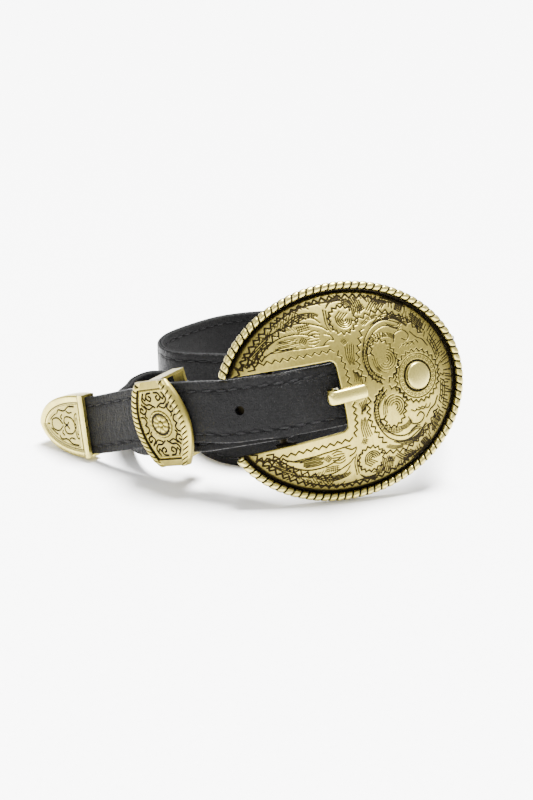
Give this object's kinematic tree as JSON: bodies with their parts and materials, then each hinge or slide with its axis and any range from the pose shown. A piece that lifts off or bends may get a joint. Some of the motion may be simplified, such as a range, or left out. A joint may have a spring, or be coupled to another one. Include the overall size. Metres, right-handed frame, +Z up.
{
  "type": "belt buckle",
  "caption": "Western belt rolled up and buckled: domed oval rope-edge buckle with open notch, prong, barrel keeper and metal tip on a leather strap.",
  "frame": {"origin": "middle of the footprint, on the surface the rolled belt stands on", "axes": "+Z up, the buckle's face looks along -Y, the strap's free end points along -X"},
  "size_m": [0.183, 0.1832, 0.0849],
  "materials": {
    "antique_brass": "antique, dark in the engraving",
    "dark_brass": "satin, tarnished",
    "face_leather": "semi-gloss pebbled",
    "lining_leather": "matte"
  },
  "bodies": {
    "strap": {"strap_face": "face_leather", "strap_lining": "lining_leather", "tip_shell": "antique_brass", "tip_back": "dark_brass", "tip_tack_1": "dark_brass", "tip_tack_2": "dark_brass", "snap_post_1": "dark_brass", "snap_stud_1": "dark_brass", "snap_socket_1": "dark_brass", "snap_cap_1": "antique_brass", "snap_post_2": "dark_brass", "snap_stud_2": "dark_brass", "snap_socket_2": "dark_brass", "snap_cap_2": "antique_brass"},
    "buckle": {"buckle_plate": "antique_brass", "rope_edge": "antique_brass", "centre_boss": "antique_brass", "crossbar": "dark_brass"},
    "prong": {"prong": "antique_brass"},
    "keeper": {"keeper_plate": "antique_brass", "keeper_loop": "dark_brass"}
  },
  "joints": [
    {"name": "buckle_swing", "type": "hinge", "parent": "strap", "child": "buckle", "pos_m": [0.01376, -0.07882, 0.03849], "axis": [0.213, -0.2403, -0.947], "range_deg": [0, 5]},
    {"name": "prong_lift", "type": "hinge", "parent": "buckle", "child": "prong", "pos_m": [0.01376, -0.07882, 0.03849], "axis": [0.213, -0.2403, -0.947], "range_deg": [0, 6]},
    {"name": "keeper_slide", "type": "slide", "parent": "strap", "child": "keeper", "axis": [0.7753, -0.5494, 0.3115], "range_m": [-0.006, 0.006]}
  ]
}
